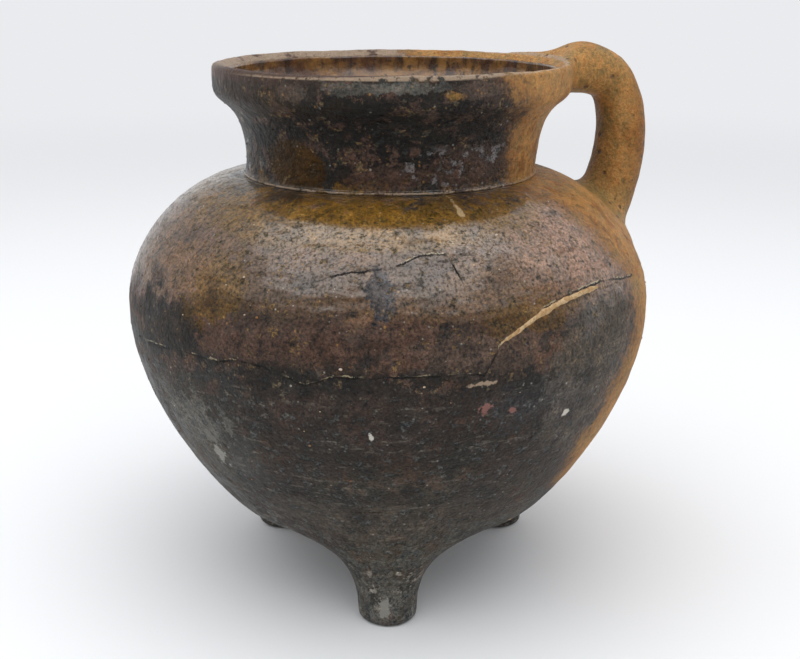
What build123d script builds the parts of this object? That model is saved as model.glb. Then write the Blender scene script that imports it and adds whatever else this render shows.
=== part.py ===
from build123d import *
import math
import os

# A redware cooking pot on three feet, with one ear handle from the rim to the shoulder.
# Millimetres and degrees. Each piece is shaped round the pot's own upright axis, with the
# floor at z = 0 and the handle towards +X, and is moved into the part's frame at the end.

# Thrown pot: the outside line
belly_radius = 92.5
belly_height = 102.8
belly_swell = 28.0  # how far down the wall stays upright from its widest line
shoulder_swell = 24.0  # how far up it does
shoulder_reach = 19.0  # how far the shoulder runs level, out from the neck
heel_radius = 60.0
heel_height = 32.0
heel_slope = 44.0
heel_curl = 11.0
base_height = 27.3
base_flat = 20.0

# Thrown pot: neck, collar and lip
neck_radius = 50.8
neck_height = 147.6
neck_straight = 29.5  # pull of the upright neck on its flare
rim_radius = 61.9
collar_height = 178.0
collar_tuck = 7.0  # pull of the upright collar on the flare under it
rim_height = 185.5
lip_crown = 2.0
cordon_out = 0.9
cordon_height = 1.6

wall = 5.0
seam_angle = 180.0  # where the turned surfaces close, clear of the handle and feet
flare_lift = 0.5  # share of the inset by which the inside of the flare stands higher
glaze_thickness = 0.4

# Ear handle, a roll of clay
handle_thickness = 18.6
handle_top_height = 182.0  # centre line where it leaves the rim
handle_reach = 98.7  # outside of the handle from the pot's axis
handle_bend = 19.0
handle_knee_height = 150.0
handle_knee = 60.0
handle_lean = 14.0
handle_rim_width = 25.0
handle_root_width = 24.0
handle_root_length = 48.0  # centre line below the knee, which ends inside the wall
smear_rise = 35.0  # slope of the clay smeared over the lip

# Feet
foot_angles = {"front_foot": -105.0, "right_foot": 15.0, "left_foot": 135.0}
foot_circle = 50.0
sole_width = 20.6
sole_depth = 19.2
sole_round = 2.5
foot_root_height = 45.0
foot_root_width = 72.0
foot_root_depth = 42.0
foot_root_shift = 5.0  # how far the root stands nearer the axis than the sole
# Share of the height, and of the widening that is done there
foot_spread = [(0, 0), (0.25, 0.06), (0.5, 0.25), (0.75, 0.7), (1, 1)]

# Mended break: a strip of pale filler let into the belly
fill_angle = -69.0
fill_height = 117.0
fill_length = 46.0
fill_width = 2.2
fill_depth = 1.6
fill_tilt = 14.0

# Middle of the footprint, from the pot's own axis
footprint_centre = (handle_reach - belly_radius) / 2


def outside_line(inset):
    """Profile from the middle of the base to the foot of the lip, moved into the clay by inset."""
    slope = math.radians(heel_slope)
    along = Vector(math.cos(slope), math.sin(slope))
    inwards = Vector(-math.sin(slope), math.cos(slope))
    base = Vector(0, base_height + inset)
    heel = Vector(heel_radius, heel_height) + inwards * inset
    belly = Vector(belly_radius - inset, belly_height)
    neck = Vector(neck_radius - inset, neck_height - inset)
    collar = Vector(rim_radius - inset, collar_height + flare_lift * inset)
    lip = Vector(rim_radius - inset, rim_height - lip_crown)
    up = Vector(0, 1)
    out = Vector(1, 0)
    return [
        Bezier(base, base + out * base_flat, heel - along * heel_curl, heel),
        Bezier(heel, heel + along * heel_curl, belly - up * belly_swell, belly),
        Bezier(belly, belly + up * shoulder_swell, neck + out * shoulder_reach, neck),
        Bezier(neck, neck + up * neck_straight, collar - up * collar_tuck, collar),
        Line(collar, lip),
    ]


def turned(edges):
    """Solid of revolution of a closed outline drawn as radius and height."""
    return Rot(0, 0, seam_angle) * revolve(make_face([Plane.XZ * edge for edge in edges]), Axis.Z)


def filled_pot(inset):
    """The pot's outside, moved in by inset, with no hollow in it."""
    edges = outside_line(inset)
    top = edges[-1] @ 1
    foot = edges[0] @ 0
    axis_top = Vector(0, top.Y)
    return turned(edges + [Line(top, axis_top), Line(axis_top, foot)])


def skin(outer, inner):
    """Shell between two insets, closed at the foot of the lip."""
    outer_edges = outside_line(outer)
    inner_edges = outside_line(inner)
    closing = [
        Line(outer_edges[-1] @ 1, inner_edges[-1] @ 1),
        Line(inner_edges[0] @ 0, outer_edges[0] @ 0),
    ]
    return turned(outer_edges + inner_edges + closing)


def lip():
    """Rounded top of the collar."""
    foot_height = rim_height - lip_crown
    outer = Vector(rim_radius, foot_height)
    inner = Vector(rim_radius - wall, foot_height)
    crown = Vector(rim_radius - wall / 2, rim_height)
    return turned([ThreePointArc(outer, crown, inner), Line(inner, outer)])


def cordon():
    """Small ridge round the foot of the neck."""
    low = Vector(neck_radius, neck_height)
    top = Vector(neck_radius, neck_height + cordon_height)
    edge = Vector(neck_radius + cordon_out, neck_height + cordon_height / 2)
    back = Vector(neck_radius - wall / 2, neck_height)
    back_top = Vector(back.X, top.Y)
    inside = [Line(top, back_top), Line(back_top, back), Line(back, low)]
    return turned([ThreePointArc(low, edge, top)] + inside)


def mouth_clearance():
    """Space over and inside the lip that the handle's smeared end leaves free."""
    inner_radius = rim_radius - wall
    over = 2 * handle_thickness
    rise = math.radians(smear_rise)
    foot = Vector(inner_radius, rim_height - lip_crown)
    slope_end = Vector(inner_radius + over * math.cos(rise), foot.Y + over * math.sin(rise))
    axis_top = Vector(0, slope_end.Y)
    axis_foot = Vector(0, foot.Y)
    around = [foot, slope_end, axis_top, axis_foot, foot]
    return turned([Line(start, end) for start, end in zip(around, around[1:])])


def handle():
    """Ear handle: a round roll from the collar, out, down and back onto the shoulder."""
    out = handle_reach - handle_thickness / 2
    lean = math.radians(handle_lean)
    rim = Vector(rim_radius - wall / 2, 0, handle_top_height)
    corner = Vector(out, 0, handle_top_height)
    knee = Vector(out, 0, handle_knee_height)
    root = knee - Vector(math.sin(lean), 0, math.cos(lean)) * handle_root_length
    path = FilletPolyline(rim, corner, knee, root, radius=[handle_bend, handle_knee])
    widths = [handle_rim_width, handle_thickness, handle_root_width]
    sections = []
    for place, width in zip([0, 0.5, 1], widths):
        across = Plane(origin=path @ place, x_dir=(0, 1, 0), z_dir=path % place)
        sections.append(across * Ellipse(width / 2, handle_thickness / 2))
    roll = sweep(sections, path=path, multisection=True)
    return roll - filled_pot(0) - lip() - mouth_clearance()


def foot(angle):
    """Foot: a roll of clay that stands upright and widens into the heel of the pot."""
    sections = []
    for share_up, share_out in foot_spread:
        width = sole_width + (foot_root_width - sole_width) * share_out
        depth = sole_depth + (foot_root_depth - sole_depth) * share_out
        centre = (foot_circle - foot_root_shift * share_out, 0, foot_root_height * share_up)
        sections.append(Plane(origin=centre) * Ellipse(depth / 2, width / 2))
    roll = loft(sections)
    sole = roll.faces().sort_by(Axis.Z)[0]
    roll = fillet(sole.edges(), sole_round)
    return Rot(0, 0, angle) * roll - filled_pot(0)


def break_fill():
    """Strip of filler: a slice of the pot's outer skin, pointed at both ends."""
    turn = math.radians(fill_angle)
    radial = Vector(math.cos(turn), math.sin(turn), 0)
    level = Vector(-math.sin(turn), math.cos(turn), 0)
    tilt = math.radians(fill_tilt)
    along = level * math.cos(tilt) + Vector(0, 0, math.sin(tilt))
    outside = Plane(origin=radial * belly_radius + Vector(0, 0, fill_height), x_dir=along, z_dir=radial)
    left = (-fill_length / 2, 0)
    right = (fill_length / 2, 0)
    upper = ThreePointArc(left, (0, fill_width / 2), right)
    lower = ThreePointArc(right, (0, -fill_width / 2), left)
    cutter = extrude(outside * make_face([upper, lower]), -belly_radius / 2)
    return (filled_pot(0) - filled_pot(fill_depth)) & cutter


def placed(piece):
    """A piece in the part's frame, with the middle of the footprint at the origin."""
    return Pos(-footprint_centre, 0, 0) * piece


fill = break_fill()
pieces = {
    "pot_body": skin(0, wall) + lip() + cordon() - fill,
    "glaze_lining": skin(wall, wall + glaze_thickness),
    "handle": handle(),
    "break_fill": fill,
}
for name, angle in foot_angles.items():
    pieces[name] = foot(angle)

os.makedirs("parts", exist_ok=True)
for name, piece in pieces.items():
    export_step(placed(piece), f"parts/{name}.step")
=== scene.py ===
import math

import bmesh
import bpy
from mathutils import Matrix, Vector


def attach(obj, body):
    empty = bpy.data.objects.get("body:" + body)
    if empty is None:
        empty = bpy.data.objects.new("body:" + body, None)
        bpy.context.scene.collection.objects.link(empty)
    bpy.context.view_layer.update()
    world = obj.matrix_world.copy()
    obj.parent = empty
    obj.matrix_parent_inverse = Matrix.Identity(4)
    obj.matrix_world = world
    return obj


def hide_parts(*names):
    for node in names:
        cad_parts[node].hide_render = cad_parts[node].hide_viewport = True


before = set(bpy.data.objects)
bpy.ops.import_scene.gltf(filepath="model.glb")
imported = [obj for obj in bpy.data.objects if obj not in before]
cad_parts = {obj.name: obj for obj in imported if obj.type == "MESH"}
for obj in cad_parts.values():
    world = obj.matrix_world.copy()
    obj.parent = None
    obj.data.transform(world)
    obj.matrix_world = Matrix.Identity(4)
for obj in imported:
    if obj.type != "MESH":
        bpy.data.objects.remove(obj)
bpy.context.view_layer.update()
print("frame loaded:", ", ".join(sorted(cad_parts)))

# Sizes are in millimetres and degrees. Angles run round the pot's own axis from the handle,
# and heights run up from the floor. Meshes are scaled to metres when they are finished.
mm = 0.001
potAxis = Vector((-3.1, 0, 0))


# Helpers for node trees

class Wire:
    # a number running through a tree, so that sums in nodes read as sums
    def __init__(self, socket):
        self.socket = socket
        self.tree = socket.id_data

    def math(self, operation, *others):
        node = self.tree.nodes.new("ShaderNodeMath")
        node.operation = operation
        for place, value in zip(node.inputs, (self, *others)):
            plug(place, value)
        return Wire(node.outputs[0])

    def __add__(self, other):
        return self.math("ADD", other)

    def __sub__(self, other):
        return self.math("SUBTRACT", other)

    def __mul__(self, other):
        return self.math("MULTIPLY", other)

    def __truediv__(self, other):
        return self.math("DIVIDE", other)

    __radd__ = __add__
    __rmul__ = __mul__

    def __rsub__(self, other):
        return self.math("MULTIPLY_ADD", -1.0, other)

    def __neg__(self):
        return self.math("MULTIPLY", -1.0)

    def least(self, other):
        return self.math("MINIMUM", other)

    def most(self, other):
        return self.math("MAXIMUM", other)

    def size(self):
        return self.math("ABSOLUTE")

    def ramp(self, start, end, low=0.0, high=1.0, smooth=True):
        # low at start, high at end, and held beyond them
        node = self.tree.nodes.new("ShaderNodeMapRange")
        node.interpolation_type = "SMOOTHSTEP" if smooth else "LINEAR"
        for name, value in (("Value", self), ("From Min", start), ("From Max", end),
                            ("To Min", low), ("To Max", high)):
            plug(node.inputs[name], value)
        return Wire(node.outputs["Result"])

    def follow(self, points, low=(0.0, 0.0), high=(1.0, 1.0), bends=False):
        # a drawn curve through the points, which lie in the box from low to high
        node = self.tree.nodes.new("ShaderNodeFloatCurve")
        spanX = high[0] - low[0]
        spanY = high[1] - low[1]
        curve = node.mapping.curves[0]
        while len(curve.points) < len(points):
            curve.points.new(0.5, 0.5)
        for point, (x, y) in zip(curve.points, points):
            point.location = ((x - low[0]) / spanX, (y - low[1]) / spanY)
            point.handle_type = "AUTO" if bends else "VECTOR"
        node.mapping.update()
        plug(node.inputs["Value"], (self - low[0]) / spanX)
        return Wire(node.outputs["Value"]) * spanY + low[1]


def plug(socket, value):
    # a socket takes a wire, another socket or a plain value
    if isinstance(value, Wire):
        value = value.socket
    if isinstance(value, bpy.types.NodeSocket):
        socket.id_data.links.new(value, socket)
    else:
        socket.default_value = value


def addNode(tree, kind, inputs=None, **settings):
    node = tree.nodes.new(kind)
    for name, value in settings.items():
        setattr(node, name, value)
    for key, value in (inputs or {}).items():
        plug(node.inputs[key], value)
    return node


def wires(node):
    return [Wire(output) for output in node.outputs]


def vectorMath(tree, operation, *values):
    # a vector, or a number where the operation gives one
    node = addNode(tree, "ShaderNodeVectorMath", dict(enumerate(values)), operation=operation)
    return Wire(node.outputs["Value" if operation in ("DISTANCE", "DOT_PRODUCT", "LENGTH") else "Vector"])


def times(tree, vector, amount):
    return addNode(tree, "ShaderNodeVectorMath", {0: vector, "Scale": amount}, operation="SCALE").outputs[0]


def combine(tree, x, y, z=0.0):
    return addNode(tree, "ShaderNodeCombineXYZ", {"X": x, "Y": y, "Z": z}).outputs[0]


def split(tree, vector):
    return wires(addNode(tree, "ShaderNodeSeparateXYZ", {"Vector": vector}))


def cloud(tree, place, grain, detail=2.0, rough=0.5, seed=None):
    # soft noise from 0 to 1; grain is the size of one lump in millimetres
    inputs = {"Vector": place, "Scale": 1.0 / grain, "Detail": detail, "Roughness": rough}
    if seed is not None:
        inputs["W"] = seed
    node = addNode(tree, "ShaderNodeTexNoise", inputs, noise_dimensions="3D" if seed is None else "4D")
    return Wire(node.outputs[0])


def makeTree(name, kind, inputs, outputs):
    # inputs and outputs by name, each with the number or vector it starts with, or else its kind
    kinds = {int: "Int", float: "Float", tuple: "Vector"}
    tree = bpy.data.node_groups.new(name, kind)
    for way, sockets in (("INPUT", inputs), ("OUTPUT", outputs)):
        for label, value in sockets.items():
            socketKind = kinds.get(type(value), value)
            socket = tree.interface.new_socket(label, in_out=way, socket_type="NodeSocket" + socketKind)
            if socketKind != value:
                socket.default_value = value
    given = {output.name: Wire(output) for output in tree.nodes.new("NodeGroupInput").outputs}
    return tree, given, tree.nodes.new("NodeGroupOutput").inputs


def useGroup(tree, group, *values):
    # places a shader group and fills its inputs in their order
    return wires(addNode(tree, "ShaderNodeGroup", dict(enumerate(values)), node_tree=group))


def position(tree):
    return addNode(tree, "GeometryNodeInputPosition").outputs[0]


def moveTo(tree, geometry, place):
    return addNode(tree, "GeometryNodeSetPosition", {"Geometry": geometry, "Position": place}).outputs[0]


def meshOf(tree, obj):
    return addNode(tree, "GeometryNodeObjectInfo", {"Object": obj}).outputs["Geometry"]


def nearestOn(tree, body):
    # the nearest place on a mesh, how far off it is, and the way the mesh faces there
    nearest = addNode(tree, "GeometryNodeProximity", {0: body}, target_element="FACES")
    facing = addNode(tree, "GeometryNodeSampleNearestSurface", {"Mesh": body}, data_type="FLOAT_VECTOR")
    plug(facing.inputs["Value"], addNode(tree, "GeometryNodeInputNormal").outputs[0])
    return nearest.outputs["Position"], nearest.outputs["Distance"], facing.outputs[0]


def endTree(tree, result, mesh, material):
    # smooth shading, real geometry and the material, as every geometry tree ends
    smooth = addNode(tree, "GeometryNodeSetShadeSmooth", {"Geometry": mesh})
    real = addNode(tree, "GeometryNodeRealizeInstances", {"Geometry": smooth.outputs[0]})
    done = addNode(tree, "GeometryNodeSetMaterial", {"Geometry": real.outputs[0], "Material": material})
    plug(result["Geometry"], done.outputs[0])


# Helpers for objects

def newObject(name, data):
    obj = bpy.data.objects.new(name, data)
    bpy.context.scene.collection.objects.link(obj)
    return obj


def applyTree(obj, tree, values):
    # sets the inputs by identifier and reads the result as a plain mesh with no modifier
    modifier = obj.modifiers.new(tree.name, "NODES")
    modifier.node_group = tree
    named = {item.name: item.identifier for item in tree.interface.items_tree
             if item.item_type == "SOCKET" and item.in_out == "INPUT"}
    for name, value in values.items():
        modifier[named[name]] = value
    bpy.context.view_layer.update()
    graph = bpy.context.evaluated_depsgraph_get()
    mesh = bpy.data.meshes.new_from_object(obj.evaluated_get(graph), depsgraph=graph)
    name = obj.name
    mesh.name = name
    bpy.data.objects.remove(obj)
    return newObject(name, mesh)


def closeUp(obj, scale=mm):
    # merges doubles, turns the faces outwards and scales, to metres unless told otherwise
    work = bmesh.new()
    work.from_mesh(obj.data)
    bmesh.ops.remove_doubles(work, verts=work.verts, dist=1e-4)
    bmesh.ops.dissolve_degenerate(work, edges=work.edges, dist=1e-5)
    bmesh.ops.scale(work, vec=(scale,) * 3, verts=work.verts)
    if work.calc_volume(signed=True) < 0:
        bmesh.ops.reverse_faces(work, faces=work.faces)
    loose = sum(1 for edge in work.edges if not edge.is_manifold)
    work.to_mesh(obj.data)
    print(obj.name, "triangles", sum(len(face.verts) - 2 for face in work.faces), "open edges", loose)
    work.free()


def bezierCurve(name, points):
    # points are (place, left handle, right handle), each as radius and height
    curve = bpy.data.curves.new(name, "CURVE")
    curve.dimensions = "3D"
    curve.resolution_u = 24
    spline = curve.splines.new("BEZIER")
    spline.bezier_points.add(len(points) - 1)
    for point, (place, left, right) in zip(spline.bezier_points, points):
        point.co = (place[0], 0, place[1])
        point.handle_left = (left[0], 0, left[1])
        point.handle_right = (right[0], 0, right[1])
    return newObject(name, curve)


def pathCurve(name, splines):
    # smooth paths; each point is (x, y, z, radius of the roll there)
    curve = bpy.data.curves.new(name, "CURVE")
    curve.dimensions = "3D"
    curve.resolution_u = 16
    for points in splines:
        spline = curve.splines.new("NURBS")
        spline.points.add(len(points) - 1)
        spline.order_u = 3
        spline.use_endpoint_u = True
        for point, (x, y, z, radius) in zip(spline.points, points):
            point.co = (x, y, z, 1)
            point.radius = radius
    return newObject(name, curve)


# The pot: one outline, turned round the axis

pot = {
    "bellyRadius": 92.5,
    "bellyHeight": 102.8,
    "bellySwell": 30.5,
    "shoulderSwell": 24.0,
    "shoulderReach": 19.0,
    "heelRadius": 60.0,
    "heelHeight": 32.0,
    "heelSlope": 44.0,
    "heelCurl": 11.0,
    "baseHeight": 27.3,
    "baseFlat": 20.0,
    "neckRadius": 50.8,
    "neckHeight": 147.6,
    "neckStraight": 28.0,
    "rimRadius": 61.9,
    "collarHeight": 178.0,
    "collarTuck": 7.0,
    "lipHeight": 183.5,
    "lipCrown": 2.0,
    "cordonOut": 0.75,
    "cordonHeight": 1.3,
    "wall": 5.0,
    "glaze": 0.4,
    "glazeGap": 0.02,  # between the clay and the glaze inside it
    "lumps": 1.0,  # how far the wall wanders in and out
    "rings": 0.18,  # throwing lines
    "crust": 0.6,  # lumps in glaze and soot
    "scales": 0.5,  # short level ridges in the glaze low on the shoulder
    "lipWave": 0.7,
    "neckShift": (1.4, -0.4, 0.0),  # the neck stands a little off the belly's middle
    "breakDepth": 0.2,
    "breakStep": 0.10,
    "widest": 92.4,  # no lump stands further out
    "mostColumns": 480,
    "seed": 4.0,
}

# The mended break and a finer crack, as (angle, height) along the belly
breakLine = [(-180, 99), (-164.5, 99.2), (-147.6, 101.9), (-139.3, 101.7), (-133.2, 103.4), (-127.8, 102.5),
             (-119.9, 98.2), (-115.1, 101.3), (-106, 101.8), (-95.1, 102), (-86.4, 101.2), (-83.4, 109.9),
             (-79, 113.2), (-72.6, 118.2), (-65.4, 120.6), (-54.9, 121.6), (-40.8, 118.8), (0, 118)]
crackLine = [(-180, 127), (-119.9, 127.6), (-113.3, 130.5), (-103.4, 131.9), (-97.5, 134.8), (-91.5, 135),
             (-89.3, 127.5), (0, 127)]

# Line, angles where it starts and ends, angles between which it runs steeply, and depth
breaks = [
    (breakLine, (-166.0, -38.0), (-86.6, -83.0), 1.0),
    (crackLine, (-121.0, -88.8), (-91.6, -88.0), 0.8),
]


def outlinePoints(inset):
    # from the middle of the base to the foot of the lip, moved into the clay by inset
    slope = math.radians(pot["heelSlope"])
    along = Vector((math.cos(slope), math.sin(slope)))
    inwards = Vector((-math.sin(slope), math.cos(slope)))
    up = Vector((0, 1))
    out = Vector((1, 0))
    base = Vector((0, pot["baseHeight"] + inset))
    heel = Vector((pot["heelRadius"], pot["heelHeight"])) + inwards * inset
    belly = Vector((pot["bellyRadius"] - inset, pot["bellyHeight"]))
    neck = Vector((pot["neckRadius"] - inset, pot["neckHeight"] - inset))
    collar = Vector((pot["rimRadius"] - inset, pot["collarHeight"] + inset / 2))
    lip = Vector((pot["rimRadius"] - inset, pot["lipHeight"]))
    third = (lip - collar) / 3
    return [
        (base, base, base + out * pot["baseFlat"]),
        (heel, heel - along * pot["heelCurl"], heel + along * pot["heelCurl"]),
        (belly, belly - up * pot["bellySwell"], belly + up * pot["shoulderSwell"]),
        (neck, neck + out * pot["shoulderReach"], neck + up * pot["neckStraight"]),
        (collar, collar - up * pot["collarTuck"], collar + third),
        (lip, lip - third, lip),
    ]


def backwards(points):
    return [(place, right, left) for place, left, right in reversed(points)]


def potOutline():
    outside = outlinePoints(0)

    # a ridge between the shoulder and the neck
    neck, shoulderSide, neckSide = outside[3]
    edge = neck + Vector((pot["cordonOut"], pot["cordonHeight"] / 2))
    top = neck + Vector((0, pot["cordonHeight"]))
    soft = Vector((0, pot["cordonHeight"] / 4))
    side = Vector((pot["cordonOut"] * 0.6, 0))
    cordon = [
        (neck, shoulderSide, neck + side),
        (edge, edge - soft, edge + soft),
        (top, top + side, neckSide),
    ]

    # a rounded lip that slopes into the mouth
    lip, underLip = outside[5][:2]
    crown = lip + Vector((-pot["wall"] * 0.28, pot["lipCrown"]))
    rise = Vector((0, pot["lipCrown"] * 0.6))
    slope = Vector((pot["wall"] * 0.2, pot["lipCrown"] * 0.2))
    outerLip = (lip, underLip, lip + rise)
    crownPoint = (crown, crown + Vector((pot["wall"] * 0.12, 0)), crown - slope)
    inside = backwards(outlinePoints(pot["wall"]))
    mouth, unused, down = inside[0]
    inside[0] = (mouth, mouth + slope, down)
    return outside[:3] + cordon + [outside[4], outerLip, crownPoint] + inside


def liningOutline():
    outer = outlinePoints(pot["wall"] + pot["glazeGap"])
    return outer + backwards(outlinePoints(pot["wall"] + pot["glaze"]))


def filledOutline():
    outside = outlinePoints(0)
    lip, underLip = outside[5][:2]
    middle = Vector((0, lip.y))
    return outside[:5] + [(lip, underLip, lip), (middle, middle, middle)]


def outlineShare(obj, radius, height):
    # how far along the outline the point nearest to a radius and height is, and its full length
    graph = bpy.context.evaluated_depsgraph_get()
    mesh = bpy.data.meshes.new_from_object(obj.evaluated_get(graph))
    points = [vertex.co.copy() for vertex in mesh.vertices]
    bpy.data.meshes.remove(mesh)
    run = [0.0]
    for start, end in zip(points, points[1:]):
        run.append(run[-1] + (end - start).length)
    aim = Vector((radius, 0, height))
    nearest = min(range(len(points)), key=lambda index: (points[index] - aim).length)
    return run[nearest] / run[-1], run[-1]


def rowLadder(obj, stops):
    # stops are (radius, height, distance between rows on the way there)
    spread = [(0, 0.0)]
    for radius, height, gap in stops:
        share, length = outlineShare(obj, radius, height)
        rows = max(1, round((share - spread[-1][1]) * length / gap))
        spread.append((spread[-1][0] + rows, share))
    total = spread[-1][0]
    return total + 1, [(row / total, share) for row, share in spread]


def lineOffset(angle, height, points):
    # height above a line that is drawn round the pot as (angle, height)
    lowest = min(point[1] for point in points)
    highest = max(point[1] for point in points)
    return height - angle.follow(points, (points[0][0], lowest), (points[-1][0], highest))


def thrownTree(name, ladder, broken):
    # turns an outline round the axis and gives it the marks of the hand and of the break
    tree, given, result = makeTree(name, "GeometryNodeTree", {
        "Geometry": "Geometry",
        "Columns": 448,
        "Rows": 200,
        "Lumps": pot["lumps"],
        "Rings": pot["rings"],
        "Crust": pot["crust"],
        "Scales": pot["scales"],
        "Lip Wave": pot["lipWave"],
        "Neck Shift": pot["neckShift"],
        "Break Depth": pot["breakDepth"],
        "Break Step": pot["breakStep"],
        "Widest": pot["widest"],
        "Seed": pot["seed"],
        "Material": "Material",
    }, {"Geometry": "Geometry"})
    seed = given["Seed"]

    def swing(place, grain, detail, rough):
        # noise to both sides of zero
        return cloud(tree, place, grain, detail, rough, seed) - 0.5

    columns = given["Columns"] + 1.0
    grid = addNode(tree, "GeometryNodeMeshGrid", {
        "Size X": 1.0, "Size Y": 1.0, "Vertices X": columns, "Vertices Y": given["Rows"]})
    across, along = split(tree, position(tree))[:2]
    turn = across * (2 * math.pi)
    angle = turn * (180 / math.pi)
    cosine = turn.math("COSINE")
    sine = turn.math("SINE")
    share = (along + 0.5).follow(ladder)
    drawn = addNode(tree, "GeometryNodeSampleCurve", {"Curves": given["Geometry"], "Factor": share},
                    mode="FACTOR")
    radius, unused, height = split(tree, drawn.outputs["Position"])
    headingOut, unused, headingUp = split(tree, drawn.outputs["Tangent"])

    # slow wandering of the wall, the same for the clay and for the glaze inside it
    spot = combine(tree, cosine * 80.0, sine * 80.0, height)
    slow = cloud(tree, spot, 60.0, 1.0, 0.4, seed)
    inward = (slow - 0.52) * given["Lumps"] * radius.ramp(20.0, 60.0)

    # throwing lines run nearly level, crust is patchy, and scales lie flat on the shoulder
    level = combine(tree, cosine * 9.0, sine * 9.0, height * 1.6)
    flat = combine(tree, cosine * 40.0, sine * 40.0, height * 1.9)
    onShoulder = height.ramp(106.0, 114.0) * height.ramp(134.0, 124.0)
    proud = swing(level, 4.5, 2.0, 0.6) * given["Rings"]
    proud = proud + swing(spot, 5.5, 3.0, 0.6) * given["Crust"] * radius.ramp(50.0, 56.0, 0.5, 1.0)
    proud = proud + swing(flat, 4.5, 2.0, 0.6) * given["Scales"] * onShoulder
    if broken:
        jag = swing(spot, 3.0, 2.0, 0.6) * 1.6
        outside = radius.ramp(88.0, 89.5).most(height.ramp(122.0, 124.0) * height.ramp(140.0, 138.0))
        outside = outside * headingUp.ramp(0.0, 0.1)
        for line, ends, unused, depth in breaks:
            above = lineOffset(angle, height, line) + jag
            reach = angle.ramp(ends[0], ends[0] + 4) * angle.ramp(ends[1], ends[1] - 4)
            groove = above.size().ramp(0.9, 0.0) * given["Break Depth"]
            step = above.ramp(-0.5, 0.5) * above.ramp(9.0, 0.5) * given["Break Step"]
            proud = proud + (step - groove) * depth * reach * outside
    proud = proud * radius.ramp(0.5, 8.0)

    newRadius = (radius + proud * headingUp + inward).least(given["Widest"]).most(0.0)
    rim = combine(tree, cosine * 60.0, sine * 60.0)
    wave = swing(rim, 34.0, 2.0, 0.6) * 2.0 * given["Lip Wave"] * height.ramp(160.0, 184.0)
    newHeight = height - proud * headingOut + wave
    spun = combine(tree, newRadius * cosine, newRadius * sine, newHeight)
    shift = times(tree, given["Neck Shift"], height.ramp(138.0, 158.0))
    centred = vectorMath(tree, "ADD", vectorMath(tree, "ADD", spun, shift), tuple(potAxis))
    laid = moveTo(tree, grid.outputs["Mesh"], centred)
    joined = addNode(tree, "GeometryNodeMergeByDistance", {"Geometry": laid, "Distance": 0.005})
    endTree(tree, result, joined.outputs[0], given["Material"])
    return tree


def turnedPiece(name, outline, stops, material, mostTriangles, broken=False):
    obj = bezierCurve(name, outline)
    rows, ladder = rowLadder(obj, stops)
    columns = min(pot["mostColumns"], int(mostTriangles / 2 / rows))
    tree = thrownTree(name + "Shape", ladder, broken)
    return applyTree(obj, tree, {"Columns": columns, "Rows": rows, "Material": material})


# Finishes. Every one reads where it is on the pot, so that colours run on from piece to piece.

def hue(red, green, blue):
    # a colour as seen on screen, from 0 to 255, for a shader
    parts = [value / 255 for value in (red, green, blue)]
    linear = [part / 12.92 if part < 0.04 else ((part + 0.055) / 1.055) ** 2.4 for part in parts]
    return (*linear, 1.0)


# Colours as seen on screen
paint = {
    "sootBlack": hue(32, 30, 27),
    "sootDark": hue(41, 34, 28),
    "sootGreen": hue(63, 58, 48),
    "footGrey": hue(98, 97, 94),
    "sootPurple": hue(56, 44, 38),
    "blueGrey": hue(60, 63, 68),
    "hearthGrey": hue(80, 71, 61),
    "dust": hue(108, 105, 97),
    "shoulderBrown": hue(98, 70, 42),
    "bellyBrown": hue(70, 49, 35),
    "oliveGlaze": hue(102, 72, 14),
    "oliveDark": hue(56, 36, 4),
    "goldGlaze": hue(148, 110, 52),
    "rust": hue(84, 62, 52),
    "neckBlack": hue(30, 27, 25),
    "bareClay": hue(184, 134, 74),
    "bareDark": hue(128, 84, 38),
    "bareOlive": hue(126, 104, 62),
    "barePale": hue(188, 142, 84),
    "blushAndSheen": hue(158, 119, 95),
    "scorch": hue(98, 68, 46),
    "lipTan": hue(166, 144, 122),
    "lipBrown": hue(96, 80, 70),
    "ash": hue(150, 148, 140),
    "gap": hue(16, 13, 11),
    "chip": hue(186, 172, 140),
    "innerGlaze": hue(84, 54, 36),
    "innerDark": hue(44, 31, 25),
    "innerOchre": hue(138, 98, 48),
    "filler": hue(164, 130, 86),
    "fillerPale": hue(186, 158, 118),
    "lime": hue(216, 210, 198),
    "pink": hue(140, 96, 88),
}

# The outside from the floor up, as (height, colour)
bands = [
    (0, "footGrey"), (22, "sootGreen"), (36, "sootGreen"), (46, "sootDark"), (58, "sootGreen"),
    (70, "sootDark"), (92, "sootDark"), (98, "sootBlack"), (102, "sootBlack"), (105, "bellyBrown"),
    (117, "bellyBrown"), (121, "shoulderBrown"), (138, "shoulderBrown"), (143, "oliveGlaze"),
    (148, "oliveGlaze"), (150, "sootDark"), (158, "neckBlack"), (178, "neckBlack"), (182, "sootDark"),
]

# Half of the bare side that faces the handle, in degrees, at each height
bareEdge = [(0, 0), (26, 2), (44, 46), (53, 54), (89, 47), (110, 42), (128, 48), (143, 51), (156, 58),
            (169, 57), (179, 65), (200, 80)]

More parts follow.
